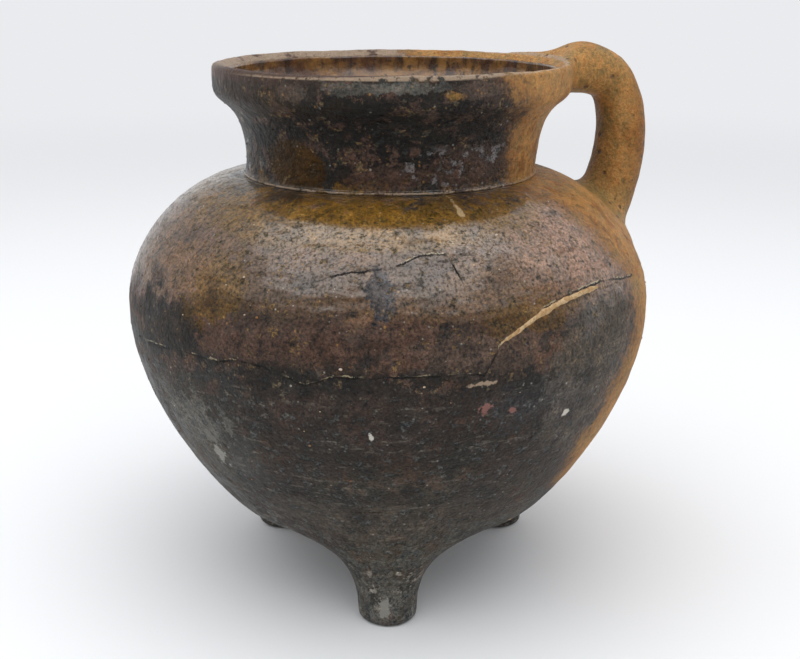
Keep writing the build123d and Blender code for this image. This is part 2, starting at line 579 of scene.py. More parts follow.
# Spots as (colour, angle, height, half angle, half height, raggedness, strength)
spots = [
    ("hearthGrey", -57, 92, 17, 27, 1.0, 0.9),
    ("sootGreen", -150, 74, 16, 20, 1.4, 0.6),
    ("sootPurple", -112, 88, 22, 12, 2.0, 0.6),
    ("rust", -108, 111, 24, 7, 2.2, 0.45),
    ("rust", -136, 110, 9, 7, 2.0, 0.55),
    ("rust", -76, 155, 14, 8, 1.8, 0.5),
    ("rust", -104, 153, 14, 4, 1.8, 0.6),
    ("sootBlack", -157, 108, 11, 9, 1.8, 0.85),
    ("sootBlack", -122, 99, 12, 3.5, 2.0, 0.7),
    ("sootBlack", -92, 108, 5, 7, 2.2, 0.5),
    ("sootBlack", -118, 52, 26, 10, 2.0, 0.6),
    ("blueGrey", -105.5, 125.5, 2.7, 7.5, 1.4, 0.75),
    ("dust", -66, 129, 1.8, 4.5, 2.0, 0.4),
    ("blueGrey", -73, 89, 12, 8, 2.4, 0.3),
    ("sootBlack", -146, 80, 12, 12, 2.0, 0.5),
    ("dust", -149, 77, 11, 9, 3.0, 0.6),
    ("hearthGrey", -108, 45, 32, 9, 1.8, 0.6),
    ("lipBrown", -84, 108, 14, 6, 2.4, 0.4),
    ("oliveGlaze", -141, 123, 8, 9, 2.0, 0.6),
    ("oliveGlaze", -74, 117, 12, 5, 2.0, 0.5),
    ("oliveGlaze", -112, 141, 42, 5.5, 0.8, 0.85),
    ("oliveDark", -141, 155.5, 14, 8.5, 0.7, 1.0),
    ("oliveDark", -150, 177, 20, 6, 2.2, 0.35),
    ("goldGlaze", -86, 179.5, 3, 1.4, 2.4, 0.5),
    ("lipBrown", -133, 180, 6, 3.0, 2.0, 0.5),
    ("dust", -112, 182, 13, 1.8, 2.4, 0.4),
    ("dust", -100, 182, 9, 1.8, 2.4, 0.5),
    ("lipBrown", -76, 181, 9, 2.6, 2.4, 0.45),
    ("sootPurple", -152, 179, 8, 4.0, 2.0, 0.6),
    ("blushAndSheen", -53, 134, 11, 14, 2.2, 0.5),
    # painted sheen: this patch lightens the right of the shoulder to stand in for the glaze's sheen there
    ("blushAndSheen", -67, 133, 10, 11, 2.4, 0.35),
    ("rust", 104, 113, 24, 10, 2.0, 0.6),
    ("sootBlack", 146, 112, 18, 11, 2.0, 0.75),
    ("blueGrey", 84, 92, 18, 12, 2.0, 0.5),
    ("oliveGlaze", 116, 141, 36, 7, 1.2, 0.8),
    ("oliveDark", 96, 160, 18, 9, 1.4, 0.8),
    ("blushAndSheen", 54, 130, 10, 12, 1.8, 0.5),
]
dullSpots = ("blueGrey", "sootBlack")  # these take the gloss away

# Small marks as (colour, angle, height, half angle, half height)
marks = [
    ("lime", -65.8, 82.3, 0.9, 1.2),
    ("lime", -108, 81.8, 0.5, 0.9),
    ("pink", -85.9, 89.4, 1.2, 1.5),
    ("pink", -80, 88, 0.8, 1.0),
    ("lipTan", -86.8, 98.4, 2.6, 0.7),
    ("fillerPale", -84.2, 144.9, 0.8, 2.2),
    ("goldGlaze", -93.1, 139.4, 3.0, 0.8),
    ("ash", -106, 7.5, 1.6, 4.0),
    ("ash", -146, 66, 1.6, 4.0),
    ("dust", -146, 72, 1.8, 2.6),
    ("lime", 128, 96, 1.2, 1.4),
    ("pink", 100, 84, 1.6, 1.8),
]


def blendColour(factor, under, over):
    # lays one colour over another, as far as the mask says
    node = addNode(factor.tree, "ShaderNodeMix", {0: factor}, data_type="RGBA")
    plug(node.inputs[6], under)
    plug(node.inputs[7], over)
    return node.outputs[2]


def placeGroup():
    # millimetres from the foot of the pot's axis, with the angle round it
    tree, given, result = makeTree("potPlace", "ShaderNodeTree", {}, {
        "Place": "Vector",
        "Angle": "Float",
        "Height": "Float",
        "Radius": "Float",
    })
    coords = addNode(tree, "ShaderNodeTexCoord").outputs["Object"]
    millimetres = vectorMath(tree, "MULTIPLY", coords, (1 / mm, 1 / mm, 1 / mm))
    centred = vectorMath(tree, "SUBTRACT", millimetres, tuple(potAxis))
    across, deep, height = split(tree, centred)
    plug(result["Place"], centred)
    plug(result["Angle"], deep.math("ARCTAN2", across) * (180 / math.pi))
    plug(result["Height"], height)
    plug(result["Radius"], (across * across + deep * deep).math("SQRT"))
    return tree


def patchGroup():
    # a ragged spot round an angle and a height
    tree, given, result = makeTree("potPatch", "ShaderNodeTree", {
        "Angle": 0.0,
        "Height": 0.0,
        "Noise": 0.5,
        "Centre Angle": 0.0,
        "Centre Height": 100.0,
        "Half Angle": 10.0,
        "Half Height": 5.0,
        "Ragged": 1.5,
        "Soft": 0.25,
    }, {"Mask": "Float"})
    turn = (given["Angle"] - given["Centre Angle"]).math("WRAP", 180.0, -180.0) / given["Half Angle"]
    rise = (given["Height"] - given["Centre Height"]) / given["Half Height"]
    away = (turn * turn + rise * rise).math("SQRT") + (given["Noise"] - 0.5) * given["Ragged"]
    soft = given["Soft"]
    plug(result["Mask"], away.ramp(1.0 + soft, 1.0 - soft))
    return tree


def speckleGroup():
    # small spots of uneven size, such as pits or specks, where Share of the cells holds one
    tree, given, result = makeTree("speckles", "ShaderNodeTree", {
        "Place": "Vector",
        "Spacing": 5.0,
        "Size": 0.2,
        "Share": 0.3,
    }, {"Mask": "Float"})
    cells = addNode(tree, "ShaderNodeTexVoronoi", {"Vector": given["Place"]})
    plug(cells.inputs["Scale"], given["Spacing"].math("POWER", -1.0))
    chance = addNode(tree, "ShaderNodeSeparateColor", {"Color": cells.outputs["Color"]})
    size = given["Size"] * Wire(chance.outputs["Green"]).ramp(0.0, 1.0, 0.35, 1.0, smooth=False)
    spot = Wire(cells.outputs["Distance"]).ramp(size, size * 0.55)
    plug(result["Mask"], spot * Wire(chance.outputs["Red"]).math("LESS_THAN", given["Share"]))
    return tree


def breakGroup():
    # thin ragged lines round the belly: dark in the gap, with chipped edges beside it
    tree, given, result = makeTree("breakLines", "ShaderNodeTree", {
        "Place": "Vector",
        "Angle": 0.0,
        "Height": 0.0,
        "Radius": 90.0,
        "Width": 0.36,
    }, {"Gap": "Float", "Chipped": "Float"})
    angle = given["Angle"]
    place = given["Place"]
    wander = (cloud(tree, place, 4.0, 5.0, 0.78) - 0.5) * 2.4
    strength = cloud(tree, place, 8.0, 2.0, 0.5).ramp(0.36, 0.54, 0.15, 1.0)
    crumbs = cloud(tree, place, 3.0, 4.0, 0.75).ramp(0.49, 0.53)
    crumbs = crumbs * cloud(tree, place, 16.0, 1.0).ramp(0.42, 0.52)
    gaps = []
    chips = []
    for line, ends, steep, unused in breaks:
        above = lineOffset(angle, given["Height"], line) + wander
        reach = angle.ramp(ends[0], ends[0] + 5) * angle.ramp(ends[1], ends[1] - 1)
        outside = given["Radius"].ramp(66.0, 69.0) * reach
        wide = 1.0 + angle.ramp(steep[0] - 1, steep[0]) * angle.ramp(steep[1] + 1, steep[1]) * 1.8
        wide = wide * given["Width"]
        gaps.append(above.size().ramp(wide, wide * 0.4) * strength * outside)
        chips.append((above - 0.25).size().ramp(0.50, 0.25) * crumbs * outside)
    plug(result["Gap"], gaps[0].most(gaps[1]))
    plug(result["Chipped"], chips[0].most(chips[1]))
    return tree


potPlace = placeGroup()
potPatch = patchGroup()
speckles = speckleGroup()
breakLines = breakGroup()


def bandColour(tree, level):
    # the colour of the outside at a height
    ladder = addNode(tree, "ShaderNodeValToRGB", {"Fac": level / 200.0})
    ramp = ladder.color_ramp
    while len(ramp.elements) < len(bands):
        ramp.elements.new(0.5)
    for element, (stop, name) in zip(ramp.elements, bands):
        element.position = stop / 200
        element.color = paint[name]
    return ladder.outputs["Color"]


def finishGroup():
    # the outside of the pot: bare clay by the handle, glaze on the shoulder, soot on the fire side
    tree, given, result = makeTree("potFinish", "ShaderNodeTree", {
        "Bareness": 0.0,
        "Warmth": 0.0,
    }, {
        "Color": "Color",
        "Roughness": "Float",
        "Coat": "Float",
        "Height": "Float",
    })
    place, angle, height, radius = useGroup(tree, potPlace)
    gap, chipped = useGroup(tree, breakLines, place, angle, height, radius)
    warmth = given["Warmth"]

    def moved(shift):
        return vectorMath(tree, "ADD", place, (shift, shift * 0.7, shift * 1.3))

    def awayFrom(middle):
        # degrees round the pot from an angle, either way
        return (angle - middle).math("WRAP", 180.0, -180.0).size()

    def speck(spacing, size, share, shift=0.0, flat=1.0):
        spot = vectorMath(tree, "MULTIPLY", moved(shift), (1.0, 1.0, flat))
        return useGroup(tree, speckles, spot, spacing, size, share)[0]

    def patch(noise, *sizes):
        return useGroup(tree, potPatch, angle, height, noise, *sizes)[0]

    # noises from the size of a hand to the size of a grain
    broad = cloud(tree, place, 34.0, 2.0, 0.5)
    patches = cloud(tree, moved(40.0), 15.0, 8.0, 0.70)
    crusts = cloud(tree, moved(310.0), 7.0, 7.0, 0.72)
    flecks = cloud(tree, moved(150.0), 2.6, 4.0, 0.66)
    fine = cloud(tree, place, 0.9, 2.0, 0.7)
    streaks = cloud(tree, vectorMath(tree, "MULTIPLY", place, (0.10, 0.10, 1.0)), 1.9, 3.0, 0.65)

    # bands of glaze and soot, with ragged edges between them
    level = height + (patches - 0.5) * 42.0 + (crusts - 0.5) * 14.0
    level = level.least(height + 7.0).most(height - 7.0)
    colour = bandColour(tree, level)
    glaze = level.ramp(108.0, 122.0)
    low = height.ramp(112.0, 84.0)
    neck = height.ramp(148.0, 151.0)

    # patches of black, brown and grey, from large to small: noise, its limits, colour and strength
    for noise, start, end, name, strength in (
        (patches, 0.52, 0.55, "sootBlack", 0.65 - glaze * 0.45 + neck * 0.4),
        (patches, 0.47, 0.43, "bellyBrown", (1.0 - neck) * 0.5),
        (crusts, 0.54, 0.57, "rust", (1.0 - low * 0.5) * 0.50),
        (crusts, 0.45, 0.42, "sootGreen", low * 0.55 + neck * 0.2),
        (crusts + broad - 0.5, 0.58, 0.61, "sootBlack", low * 0.3 + 0.45),
        (broad, 0.50, 0.62, "sootPurple", low * 0.4),
        (crusts, 0.51, 0.47, "dust", height.ramp(64.0, 24.0) * 0.6),
    ):
        colour = blendColour(noise.ramp(start, end) * strength, colour, paint[name])
    ragged = patches * 0.4 + crusts * 0.4 + flecks * 0.2
    dull = gap
    for name, *sizes, rough, strength in spots:
        mask = patch(ragged, *sizes, rough * 3.6, 0.12)
        colour = blendColour(mask * strength, colour, paint[name])
        if name in dullSpots:
            dull = dull.most(mask * 0.7)

    # rusty blobs low on the neck
    push = addNode(tree, "ShaderNodeTexNoise", {"Vector": place, "Scale": 1.0 / 2.4, "Detail": 2.0})
    push = vectorMath(tree, "SUBTRACT", push.outputs["Color"], (0.5, 0.5, 0.5))
    wobble = vectorMath(tree, "MULTIPLY_ADD", push, (3.0, 3.0, 3.0), place)
    blobs = useGroup(tree, speckles, wobble, 6.5, 0.42, 0.55)[0]
    onNeck = neck * (height + (crusts - 0.5) * 30.0).ramp(166.0, 160.0) * awayFrom(-162.0).ramp(32.0, 38.0)
    colour = blendColour(blobs * onNeck * 0.8, colour, paint["rust"])

    # flecks and specks
    belowNeck = height.ramp(148.0, 140.0)
    for noise, start, end, name, strength in (
        (patches + (flecks - 0.5) * 0.2, 0.53, 0.56, "sootBlack", height.ramp(124.0, 108.0) * 0.5),
        (flecks, 0.57, 0.61, "sootBlack", (0.65 - glaze * 0.3) * belowNeck.most(neck * 0.5)),
        (flecks, 0.43, 0.39, "goldGlaze", height.ramp(84.0, 100.0) * crusts.ramp(0.45, 0.6) * 0.5),
        (flecks, 0.42, 0.37, "dust", low * 0.6 + neck * 0.25),
        (streaks * 0.6 + flecks * 0.4, 0.57, 0.62, "dust", low * 0.25),
        (flecks, 0.54, 0.58, "ash", height.ramp(36.0, 12.0) * crusts.ramp(0.44, 0.56) * 0.4),
    ):
        colour = blendColour(noise.ramp(start, end) * strength, colour, paint[name])
    goldSpecks = speck(1.7, 0.36, 0.3) * height.ramp(98.0, 112.0) * crusts.ramp(0.46, 0.54)
    colour = blendColour(goldSpecks * 0.4, colour, paint["goldGlaze"])
    colour = blendColour(speck(2.3, 0.22, 0.3, 55.0) * 0.4, colour, paint["ash"])

    # bare clay on the side of the handle, with a scorched edge, and painted shade on the handle's inner
    # side and on its outer side low down
    edge = height.follow(bareEdge, (0.0, 0.0), (200.0, 90.0), bends=True) + given["Bareness"]
    inside = edge - angle.size() + (patches - 0.5) * 24.0 + (flecks - 0.5) * 6.0
    spread = height.ramp(95.0, 130.0) * height.ramp(150.0, 144.0)
    bare = (inside / (spread * 2.0 + 1.0)).ramp(-2.2, 2.6)
    holes = speck(4.8, 0.32, 0.6, 70.0)
    # painted shade: on the handle (warmth turns it on), the inner side toward the neck is laid darker olive
    hollow = warmth * radius.ramp(86.0, 78.0) * height.ramp(176.0, 160.0)
    clay = blendColour(crusts.ramp(0.40, 0.60), paint["bareClay"], paint["bareDark"])
    for mask, name in (
        (broad.ramp(0.42, 0.60) * 0.45, "barePale"),
        (patches.ramp(0.51, 0.58) * 0.6, "bareOlive"),
        (flecks.ramp(0.58, 0.64) * 0.4, "scorch"),
        # painted shade inside the handle's curve
        (hollow * 0.5, "bareOlive"),
        (inside.ramp(12.0, 0.0) * (0.5 - warmth * 0.3), "scorch"),
        # painted shade: the outer side of the handle's lower root, and the bare belly beside it, laid
        # darker
        (radius.ramp(85.0, 93.0) * height.ramp(122.0, 134.0) * 0.6, "bareDark"),
        (holes * (warmth * 0.4 + 0.4), "rust"),
    ):
        clay = blendColour(mask, clay, paint[name])
    colour = blendColour(inside.ramp(-8.0, -1.0) * 0.35, colour, paint["scorch"])
    colour = blendColour(bare, colour, clay)

    # grain of the clay: light and dark, and from greenish to reddish, calmer on bare clay
    grain = fine * 0.5 + flecks * 0.5
    tone = grain.ramp(0.37, 0.63, 0.22, 1.95, smooth=False)
    tone = tone * streaks.ramp(0.3, 0.7, 0.85, 1.15, smooth=False)
    tone = tone * crusts.ramp(0.40, 0.60, 0.66, 1.38, smooth=False)
    tone = tone * patches.ramp(0.42, 0.58, 0.84, 1.20, smooth=False)
    tint = flecks.ramp(0.35, 0.65, -0.08, 0.08, smooth=False)
    calm = bare * 0.6 + neck * (1.0 - bare) * 0.2
    tone = tone + calm * (1.0 - tone)
    colour = vectorMath(tree, "MULTIPLY", colour, combine(tree, tone + tint, tone, tone - tint))
    pits = speck(3.4, 0.16, 0.34, 20.0, 1.5)
    colour = blendColour(pits * 0.8, colour, paint["gap"])

    # worn lip, a painted highlight along the ridge, small marks and the break
    inLip = height.ramp(181.0, 183.0) * radius.ramp(61.6, 60.4) * (1.0 - bare)
    farLip = inLip * awayFrom(100.0).ramp(90.0, 60.0) * crusts.ramp(0.64, 0.52)
    lipWear = height.ramp(183.8, 184.3) * (radius - 61.6).size().ramp(1.0, 0.6) * flecks.ramp(0.38, 0.48)
    # painted highlight: a pale broken line along the outer edge of the ridge at the neck's foot, where
    # light catches the ledge
    ridgeHighlight = (height - 148.3).size().ramp(0.5, 0.15) * crusts.ramp(0.44, 0.52) * radius.ramp(54.5, 53.0)
    for mask, name in (
        (inLip * 0.8, "rust"),
        (farLip * 0.75, "lipTan"),
        (lipWear * 0.8, "lipTan"),
        (ridgeHighlight * 0.8, "lipTan"),
    ):
        colour = blendColour(mask, colour, paint[name])
    for name, *sizes in marks:
        colour = blendColour(patch(flecks, *sizes, 4.5, 0.25) * 0.85, colour, paint[name])
    colour = blendColour(chipped * 0.7, colour, paint["chip"])
    colour = blendColour(gap * 0.95, colour, paint["gap"])

    # gloss: wet-looking glaze on the shoulder and low on the neck, satin soot, dry clay
    dimpled = flecks.ramp(0.36, 0.46, 0.3, 1.0) * fine.ramp(0.38, 0.52, 0.35, 1.0)
    dimpled = dimpled * streaks.ramp(0.36, 0.46, 0.5, 1.0)
    glassy = height.ramp(164.0, 160.0) * neck * crusts.ramp(0.45, 0.42) * broad.ramp(0.44, 0.52) * dimpled
    satin = low * crusts.ramp(0.56, 0.46) * awayFrom(-156.0).ramp(28.0, 16.0) * 0.35
    whole = (1.0 - bare) * (1.0 - dull) * awayFrom(-155.0).ramp(36.0, 8.0, 1.0, 0.45)
    coat = (glaze * (1.0 - neck) * dimpled).most(glassy).most(satin) * whole
    rough = 0.52 - glaze * 0.14 + bare * 0.12 + (flecks - 0.5) * 0.3

    # relief in millimetres
    relief = flecks * 1.2 + fine * 0.28 + crusts * 1.8
    relief = relief + streaks * height.ramp(130.0, 96.0, 0.10, 0.26) * (1.0 - bare * 0.5)
    bubbles = speck(1.5, 0.34, 0.5, 5.0, 1.6) * height.ramp(104.0, 118.0) * (1.0 - bare * 0.6)
    relief = relief - pits * 0.4 - holes * 0.45 - bubbles * 0.16
    relief = relief - gap * 0.25 + chipped * 0.12
    plug(result["Color"], colour)
    plug(result["Roughness"], rough.most(0.15).least(0.85))
    plug(result["Coat"], coat)
    plug(result["Height"], relief)
    return tree


def newMaterial(name):
    material = bpy.data.materials.new(name)
    material.use_nodes = True
    tree = material.node_tree
    return material, tree, tree.nodes["Principled BSDF"]


def finishShader(tree, shader, colour, roughness, relief):
    # relief is in millimetres
    bump = addNode(tree, "ShaderNodeBump", {"Strength": 1.0, "Distance": mm, "Height": relief})
    plug(shader.inputs["Base Color"], colour)
    plug(shader.inputs["Roughness"], roughness)
    plug(shader.inputs["Normal"], bump.outputs[0])


def potMaterial(name, bareness=0.0, warmth=0.0):
    material, tree, shader = newMaterial(name)
    colour, roughness, coat, relief = useGroup(tree, potFinish, bareness, warmth)
    shader.inputs["Specular IOR Level"].default_value = 0.2
    shader.inputs["Coat Roughness"].default_value = 0.17
    shader.inputs["Coat IOR"].default_value = 1.8
    plug(shader.inputs["Coat Weight"], coat)
    finishShader(tree, shader, colour, roughness, relief)
    return material


def glazeMaterial():
    # orange-brown lead glaze on the inside, darker where it pooled, with burnt spots
    material, tree, shader = newMaterial("leadGlaze")
    place, unused, height = useGroup(tree, potPlace)[:3]
    middle = cloud(tree, place, 9.0, 4.0, 0.62)
    small = cloud(tree, place, 2.4, 3.0, 0.6)
    runs = cloud(tree, vectorMath(tree, "MULTIPLY", place, (1.0, 1.0, 0.25)), 5.0, 3.0, 0.6)
    colour = blendColour(middle.ramp(0.36, 0.62), paint["innerGlaze"], paint["innerOchre"])
    colour = blendColour(runs.ramp(0.50, 0.64) * 0.8, colour, paint["innerDark"])
    colour = blendColour(small.ramp(0.58, 0.68) * 0.8, colour, paint["sootBlack"])
    colour = blendColour(height.ramp(120.0, 60.0) * 0.8, colour, paint["innerDark"])
    shader.inputs["Coat Weight"].default_value = 0.6
    shader.inputs["Coat Roughness"].default_value = 0.1
    finishShader(tree, shader, colour, small.ramp(0.3, 0.7, 0.22, 0.42), small * 0.35 + middle * 0.5)
    return material


def fillerMaterial():
    material, tree, shader = newMaterial("paleFiller")
    place = useGroup(tree, potPlace)[0]
    small = cloud(tree, place, 2.2, 3.0, 0.6)
    fine = cloud(tree, place, 0.7, 2.0, 0.6)
    colour = blendColour(small.ramp(0.44, 0.60), paint["filler"], paint["fillerPale"])
    colour = blendColour(fine.ramp(0.56, 0.66) * 0.6, colour, paint["bareDark"])
    finishShader(tree, shader, colour, fine.ramp(0.3, 0.7, 0.6, 0.8), small * 0.3 + fine * 0.15)
    return material


def limeMaterial():
    material, tree, shader = newMaterial("limeWhite")
    place = useGroup(tree, potPlace)[0]
    broad = cloud(tree, place, 17.0, 2.0, 0.5)
    small = cloud(tree, place, 1.5, 2.0, 0.6)
    colour = blendColour(broad.ramp(0.40, 0.52), paint["chip"], paint["bareDark"])
    colour = blendColour(small.ramp(0.50, 0.60) * 0.6, colour, paint["lime"])
    finishShader(tree, shader, colour, small.ramp(0.3, 0.7, 0.55, 0.8), small * 0.2)
    return material


potFinish = finishGroup()
firedClay = potMaterial("firedClay")
handleClay = potMaterial("handleClay", warmth=1.0)
sootedClay = potMaterial("sootedClay", bareness=-4.0)
leadGlaze = glazeMaterial()
paleFiller = fillerMaterial()
limeWhite = limeMaterial()
print("finishes made")


# The turned pieces, with stops as (radius, height, distance between rows on the way there)

outerStops = [(60, 32, 2.6), (91.5, 94, 2.0), (86, 124, 0.62), (75, 137.5, 0.8), (50.8, 147.6, 1.3),
              (50.8, 148.9, 0.3), (61.9, 178, 1.3), (61.9, 183.5, 1.2)]
innerStops = [(56.9, 183.5, 0.8), (56.9, 180.5, 1.5), (45.8, 142.6, 4.0), (87.5, 102.8, 5.0),
              (0, 32.3, 6.0)]
potBody = turnedPiece("potBody", potOutline(), outerStops + innerStops, firedClay, 197000, broken=True)
closeUp(potBody, 1.0)

# the pot as if it were solid, for the clay that is luted onto it; it is taken away later
solidStops = [(60, 32, 3.0), (91.5, 94, 2.4), (50.8, 147.6, 2.0), (61.9, 178, 1.6), (61.9, 183.5, 1.5),
              (0, 183.5, 6.0)]
solidPot = turnedPiece("solidPot", filledOutline(), solidStops, firedClay, 90000)
closeUp(solidPot, 1.0)

liningStops = [(87.48, 102.8, 6.0), (45.78, 142.6, 5.0), (56.88, 183.5, 4.0), (56.48, 183.5, 0.5),
               (56.48, 180.5, 1.0), (45.4, 142.2, 1.1), (87.08, 102.8, 1.8), (0, 32.7, 2.6)]
glazeLining = turnedPiece("glazeLining", liningOutline(), liningStops, leadGlaze, 120000)
closeUp(glazeLining)
print("pot and lining turned")


# Clay luted onto the pot: the handle and the feet

handle = {
    # distance from the axis, height, and the radius of the roll there
    "path": [(55, 182.2, 8.8), (66, 182.2, 9.0), (77, 181.7, 8.9), (84.8, 177.0, 8.1), (88.9, 166, 8.4),
             (88.8, 152, 8.9), (85.6, 138, 9.5), (79.5, 126, 9.8), (70, 110, 10.5)],
    # the same after an angle, for the clay smeared along the lip and down the shoulder
    "smears": [
        [(-19, 59.5, 180.5, 1.0), (-9, 59.8, 182, 4.4), (4, 60, 182.8, 6.6), (18, 60, 182.6, 5.0),
         (28, 59.8, 181.8, 3.4), (38, 59.5, 180.5, 1.0)],
        [(-17, 82.0, 124, 1.5), (-7, 80, 127, 6.0), (0, 79, 128, 7.5), (8, 80, 127, 6.5),
         (19, 82, 122, 1.5)],
    ],
    "squeeze": (1.0, 0.84, 1.0),
    "blend": 7.0,
    "smearBlend": 6.0,
    "lumps": 0.9,
    "reach": 15.0,  # how far the clay thins out from the roll
    "low": (50, -36, 104),
    "high": (101, 40, 193),
    "round": 1.6,
    "mouth": 57.2,  # the mouth's radius, which the smeared clay leaves free
    "slopeRise": 35.0,  # the smeared clay slopes down over the lip
    "slopeFoot": 57.0,  # radius where that slope meets the lip
}
feet = {
    "angles": {"footFront": -105.0, "footRight": 15.0, "footLeft": 135.0},
    "path": [(50, -4, 9.9), (50, 6, 10.2), (49, 18, 11.0), (46.5, 34, 13)],
    "smears": [[(0, 44, 38, 10.0), (0, 40, 42, 10.0)]],
    "squeeze": (1.0, 0.97, 1.0),
    "blend": 24.0,
    "smearBlend": 8.0,
    "lumps": 0.9,
    "reach": 24.0,
    "middle": 48,  # where the corners below are measured from, out from the axis
    "low": (-38, -40, -1),
    "high": (38, 40, 50),
    "round": 2.6,
    "mouth": 0.0,
}
voxel = 0.6


def roundPot(angle, radius, height):
    turn = math.radians(angle)
    return Vector((radius * math.cos(turn), radius * math.sin(turn), height)) + potAxis


def softLeast(first, second, blend):
    # the lesser of two distances, with a rounded hollow where they meet
    share = (blend - (first - second).size()).most(0.0) / blend
    return first.least(second) - share * share * blend * 0.25


def softMost(first, second, blend):
    return -softLeast(-first, -second, blend)


def rollDistance(tree, curve, place, squeeze):
    # distance from a place to the skin of a roll of clay along the curve
    points = addNode(tree, "GeometryNodeCurveToPoints", {"Curve": curve, "Length": 0.7}, mode="LENGTH")
    own = position(tree)
    flat = moveTo(tree, points.outputs[0], vectorMath(tree, "MULTIPLY", own, squeeze))
    nearest = addNode(tree, "GeometryNodeSampleNearest", {"Geometry": flat, "Sample Position": place})
    there = {"Geometry": flat, "Index": nearest.outputs[0]}
    centre = addNode(tree, "GeometryNodeSampleIndex", {**there, "Value": own}, data_type="FLOAT_VECTOR")
    radius = addNode(tree, "GeometryNodeInputRadius").outputs[0]
    thick = addNode(tree, "GeometryNodeSampleIndex", {**there, "Value": radius}, data_type="FLOAT")
    return vectorMath(tree, "DISTANCE", place, centre.outputs[0]) - thick.outputs[0]


def lutedTree():
    # a roll of clay pressed onto the pot: distances to both are blended, and the skin is meshed
    tree, given, result = makeTree("lutedRoll", "GeometryNodeTree", {
        "Geometry": "Geometry",
        "Smears": "Object",
        "Pot": "Object",
        "Squeeze": (1.0, 1.0, 1.0),
        "Blend": 10.0,
        "Smear Blend": 6.0,
        "Lumps": 0.8,
        "Bite": 1.2,
        "Edge Depth": 0.16,
        "Reach": 20.0,
        "Edge Round": 2.5,
        "Mouth Radius": 0.0,
        "Slope Rise": math.radians(handle["slopeRise"]),
        "Slope Foot": handle["slopeFoot"],
        "Lip Height": pot["lipHeight"],
        "Axis": (0.0, 0.0, 0.0),
        "Low Corner": (0.0, 0.0, 0.0),
        "High Corner": (10.0, 10.0, 10.0),
        "Voxel": 0.6,
        "Seed": 1.0,
        "Material": "Material",
    }, {"Geometry": "Geometry"})
    place = position(tree)
    flatPlace = vectorMath(tree, "MULTIPLY", place, given["Squeeze"])
    edgeRound = given["Edge Round"]

    roll = rollDistance(tree, given["Geometry"], flatPlace, given["Squeeze"])
    smear = rollDistance(tree, meshOf(tree, given["Smears"]), flatPlace, given["Squeeze"])
    clay = softLeast(roll, smear, given["Smear Blend"])
    slow = cloud(tree, place, 13.0, 2.0, 0.5, given["Seed"]) - 0.5
    fine = cloud(tree, place, 3.4, 2.0, 0.5, given["Seed"]) - 0.5
    clay = clay + slow * given["Lumps"] * 1.6 + fine * given["Lumps"] * 0.35

    # how far a place stands out of the pot's wall
    nearest, distance, facing = nearestOn(tree, meshOf(tree, given["Pot"]))
    away = vectorMath(tree, "SUBTRACT", place, nearest)
    wall = vectorMath(tree, "DOT_PRODUCT", away, facing).math("SIGN") * distance
    skin = softLeast(clay, wall + given["Edge Depth"], given["Blend"])
    skin = skin.most(-(wall + given["Bite"]))
    skin = skin.most(clay - given["Reach"])

    # cut level at the floor, and clear of the mouth and the slope over the lip
    height = split(tree, place)[2]
    skin = softMost(skin, -height, edgeRound)
    fromAxis = vectorMath(tree, "SUBTRACT", place, given["Axis"])
    radius = vectorMath(tree, "LENGTH", vectorMath(tree, "MULTIPLY", fromAxis, (1.0, 1.0, 0.0)))
    rise = given["Slope Rise"]
    overLip = (height - given["Lip Height"]) * rise.math("COSINE")
    overLip = overLip - (radius - given["Slope Foot"]) * rise.math("SINE")
    skin = softMost(skin, given["Mouth Radius"] - radius, edgeRound)
    skin = softMost(skin, overLip, edgeRound)

    density = (0.5 - skin / (given["Voxel"] * 4.0)).least(1.0).most(0.0)
    span = split(tree, vectorMath(tree, "SUBTRACT", given["High Corner"], given["Low Corner"]))
    block = addNode(tree, "GeometryNodeVolumeCube", {
        "Density": density, "Min": given["Low Corner"], "Max": given["High Corner"]})
    for axis, length in zip("XYZ", span):
        plug(block.inputs["Resolution " + axis], length / given["Voxel"])
    mesh = addNode(tree, "GeometryNodeVolumeToMesh", {"Volume": block.outputs[0], "Threshold": 0.5},
                   resolution_mode="GRID")
    blur = addNode(tree, "GeometryNodeBlurAttribute", {"Iterations": 2}, data_type="FLOAT_VECTOR")
    plug(blur.inputs["Value"], position(tree))
    endTree(tree, result, moveTo(tree, mesh.outputs[0], blur.outputs[0]), given["Material"])
    return tree


def lutedPiece(name, sizes, turn, low, high, seed, material):
    # the path and the smears are drawn for a piece at the angle 0, and turned to its own
    path = [(*roundPot(turn, radius, height), thick) for radius, height, thick in sizes["path"]]
    smears = [[(*roundPot(angle + turn, radius, height), thick) for angle, radius, height, thick in line]
              for line in sizes["smears"]]
    smearCurve = pathCurve(name + "Smears", smears)
    piece = applyTree(pathCurve(name, [path]), luted, {
        "Smears": smearCurve, "Pot": solidPot, "Squeeze": sizes["squeeze"], "Blend": sizes["blend"],
        "Smear Blend": sizes["smearBlend"], "Lumps": sizes["lumps"], "Reach": sizes["reach"],
        "Edge Round": sizes["round"], "Mouth Radius": sizes["mouth"],
        "Axis": tuple(potAxis + Vector(pot["neckShift"])), "Low Corner": low, "High Corner": high,
        "Voxel": voxel, "Seed": seed, "Material": material,
    })
    bpy.data.objects.remove(smearCurve)
    closeUp(piece)
    return piece


luted = lutedTree()
earHandle = lutedPiece("earHandle", handle, 0.0, handle["low"], handle["high"], 2.0, handleClay)
footPieces = {}
for order, (name, turn) in enumerate(feet["angles"].items()):
    middle = roundPot(turn, feet["middle"], 0)
    low = tuple(middle + Vector(feet["low"]))
    high = tuple(middle + Vector(feet["high"]))
    footPieces[name] = lutedPiece(name, feet, turn, low, high, 5.0 + order, sootedClay)
print("handle and feet luted on")


# Filler in the break: a thin strip that lies along the break line on the right of the belly

filler = {
    "radius": 1.3,
    "sink": 0.95,
    "from": -83.0,
    "to": -53.5,
    "seed": 3.0,
}


